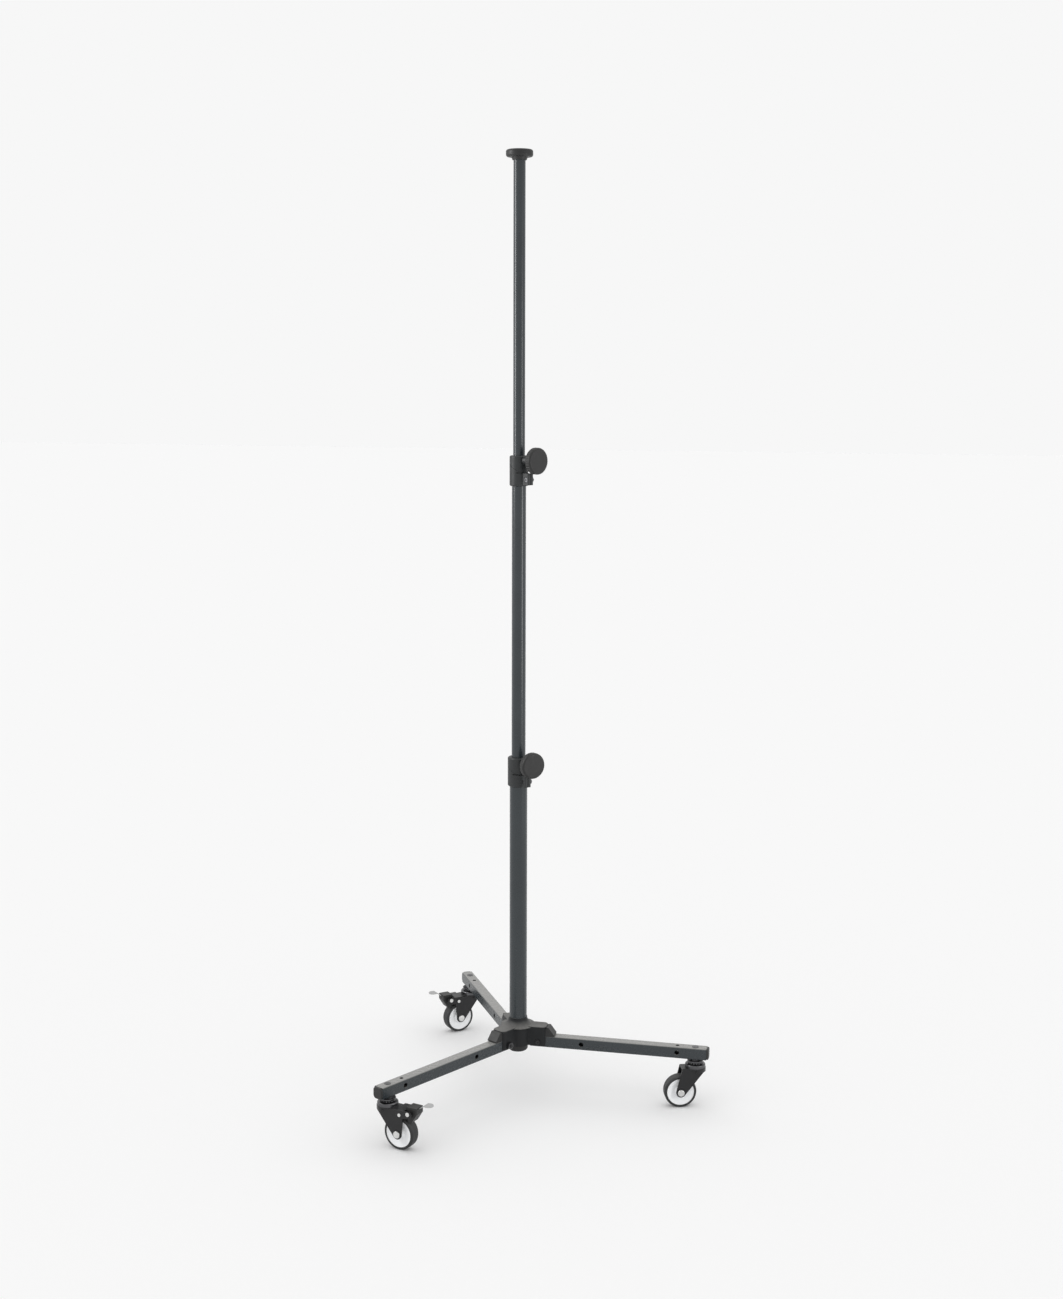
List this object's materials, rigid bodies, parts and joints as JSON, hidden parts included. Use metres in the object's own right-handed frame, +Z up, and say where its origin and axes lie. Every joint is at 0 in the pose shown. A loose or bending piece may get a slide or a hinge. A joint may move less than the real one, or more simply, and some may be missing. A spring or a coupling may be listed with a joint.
{
  "type": "rolling light stand",
  "caption": "A rolling light stand: a telescopic black column with clamp collars, square-tube legs that fold at the hub, and swivel casters with foot brakes.",
  "frame": {"origin": "On the floor under the wheels, on the axis of the column.", "axes": "+Z up along the column; +X along leg A, horizontal; +Y completes the right-handed frame, with leg B at 120 degrees from +X towards +Y and leg C at 240 degrees."},
  "size_m": [0.7048, 0.7527, 2.026],
  "materials": {
    "tube_coating": "satin black powder coat over steel tube",
    "hub_paint": "lightly textured black paint over a light alloy casting",
    "fork_steel": "satin black over pressed steel",
    "collar_plastic": "fine-grained black polymer",
    "black_plastic": "satin black moulded plastic",
    "pale_plastic": "plain natural polymer",
    "wheel_plastic": "pale grey moulded plastic",
    "wheel_rubber": "dark grey soft rubber",
    "zinc_steel": "bright zinc-plated steel",
    "dark_steel": "dark oxide over machined steel",
    "pedal_steel": "plated pressed steel, smooth",
    "plain_steel": "turned steel",
    "brass": "turned brass"
  },
  "bodies": {
    "base": {"hub_casting": "hub_paint", "hub_bottom_cap": "black_plastic", "column_plug": "plain_steel", "column_bolt": "zinc_steel", "leg_stop_blocks": "black_plastic", "leg_pivot_bolts": "fork_steel", "leg_pivot_nuts": "dark_steel", "tube_lower": "tube_coating", "collar_lower": "collar_plastic", "collar_bolt_lower": "dark_steel", "clamp_pad_lower": "pale_plastic"},
    "column_middle": {"tube_middle": "tube_coating", "middle_foot_sleeve": "black_plastic", "collar_upper": "collar_plastic", "collar_bolt_upper": "dark_steel", "clamp_pad_upper": "pale_plastic"},
    "column_top": {"tube_top": "tube_coating", "top_foot_sleeve": "black_plastic", "top_cap": "black_plastic", "top_insert": "brass"},
    "clamp_knob_lower": {"knob_lower": "black_plastic", "knob_screw_lower": "zinc_steel"},
    "clamp_knob_upper": {"knob_upper": "black_plastic", "knob_screw_upper": "zinc_steel"},
    "leg_a": {"leg_tube_a": "tube_coating", "leg_end_cap_a": "black_plastic", "caster_stem_a": "dark_steel", "stem_nut_a": "dark_steel"},
    "swivel_a": {"fork_a": "fork_steel", "swivel_race_a": "dark_steel", "axle_a": "zinc_steel"},
    "wheel_a": {"wheel_core_a": "wheel_plastic", "wheel_tread_a": "wheel_rubber"},
    "leg_b": {"leg_tube_b": "tube_coating", "leg_end_cap_b": "black_plastic", "caster_stem_b": "dark_steel", "stem_nut_b": "dark_steel"},
    "swivel_b": {"fork_b": "fork_steel", "swivel_race_b": "dark_steel", "axle_b": "zinc_steel", "brake_bracket_b": "fork_steel", "brake_rivets_b": "zinc_steel"},
    "wheel_b": {"wheel_core_b": "wheel_plastic", "wheel_tread_b": "wheel_rubber"},
    "pedal_b": {"brake_pedal_b": "pedal_steel", "brake_cam_b": "black_plastic"},
    "leg_c": {"leg_tube_c": "tube_coating", "leg_end_cap_c": "black_plastic", "caster_stem_c": "dark_steel", "stem_nut_c": "dark_steel"},
    "swivel_c": {"fork_c": "fork_steel", "swivel_race_c": "dark_steel", "axle_c": "zinc_steel", "brake_bracket_c": "fork_steel", "brake_rivets_c": "zinc_steel"},
    "wheel_c": {"wheel_core_c": "wheel_plastic", "wheel_tread_c": "wheel_rubber"},
    "pedal_c": {"brake_pedal_c": "pedal_steel", "brake_cam_c": "black_plastic"}
  },
  "joints": [
    {"name": "middle_slide", "type": "slide", "parent": "base", "child": "column_middle", "axis": [0, 0, 1], "range_m": [-0.5, 0]},
    {"name": "top_slide", "type": "slide", "parent": "column_middle", "child": "column_top", "axis": [0, 0, 1], "range_m": [-0.59, 0]},
    {"name": "knob_lower_turn", "type": "hinge", "parent": "base", "child": "clamp_knob_lower", "pos_m": [0, 0, 0.745], "axis": [0.7071, -0.7071, 0], "range_deg": [0, 360]},
    {"name": "knob_upper_turn", "type": "hinge", "parent": "column_middle", "child": "clamp_knob_upper", "pos_m": [0, 0, 1.392], "axis": [0.848, -0.5299, 0], "range_deg": [0, 360]},
    {"name": "leg_fold_a", "type": "hinge", "parent": "base", "child": "leg_a", "pos_m": [0.048, 0, 0.1195], "axis": [0, 1, 0], "range_deg": [0, 65]},
    {"name": "swivel_a_turn", "type": "hinge", "parent": "leg_a", "child": "swivel_a", "pos_m": [0.394, 0, 0.098], "axis": [0, 0, 1], "continuous": true},
    {"name": "wheel_a_spin", "type": "hinge", "parent": "swivel_a", "child": "wheel_a", "pos_m": [0.36262, -0.0102, 0.035], "axis": [0.309, -0.9511, 0], "continuous": true},
    {"name": "leg_fold_b", "type": "hinge", "parent": "base", "child": "leg_b", "pos_m": [-0.024, 0.04157, 0.1195], "axis": [-0.866, -0.5, 0], "range_deg": [0, 65]},
    {"name": "swivel_b_turn", "type": "hinge", "parent": "leg_b", "child": "swivel_b", "pos_m": [-0.197, 0.34121, 0.098], "axis": [0, 0, 1], "continuous": true},
    {"name": "wheel_b_spin", "type": "hinge", "parent": "swivel_b", "child": "wheel_b", "pos_m": [-0.22152, 0.31913, 0.035], "axis": [0.6691, -0.7431, 0], "continuous": true},
    {"name": "brake_b_press", "type": "hinge", "parent": "swivel_b", "child": "pedal_b", "pos_m": [-0.24159, 0.30107, 0.084], "axis": [0.6691, -0.7431, 0], "range_deg": [0, 28]},
    {"name": "leg_fold_c", "type": "hinge", "parent": "base", "child": "leg_c", "pos_m": [-0.024, -0.04157, 0.1195], "axis": [0.866, -0.5, 0], "range_deg": [0, 65]},
    {"name": "swivel_c_turn", "type": "hinge", "parent": "leg_c", "child": "swivel_c", "pos_m": [-0.197, -0.34121, 0.098], "axis": [0, 0, 1], "continuous": true},
    {"name": "wheel_c_spin", "type": "hinge", "parent": "swivel_c", "child": "wheel_c", "pos_m": [-0.16544, -0.35086, 0.035], "axis": [0.2924, 0.9563, 0], "continuous": true},
    {"name": "brake_c_press", "type": "hinge", "parent": "swivel_c", "child": "pedal_c", "pos_m": [-0.13962, -0.35876, 0.084], "axis": [0.2924, 0.9563, 0], "range_deg": [0, 28]}
  ]
}
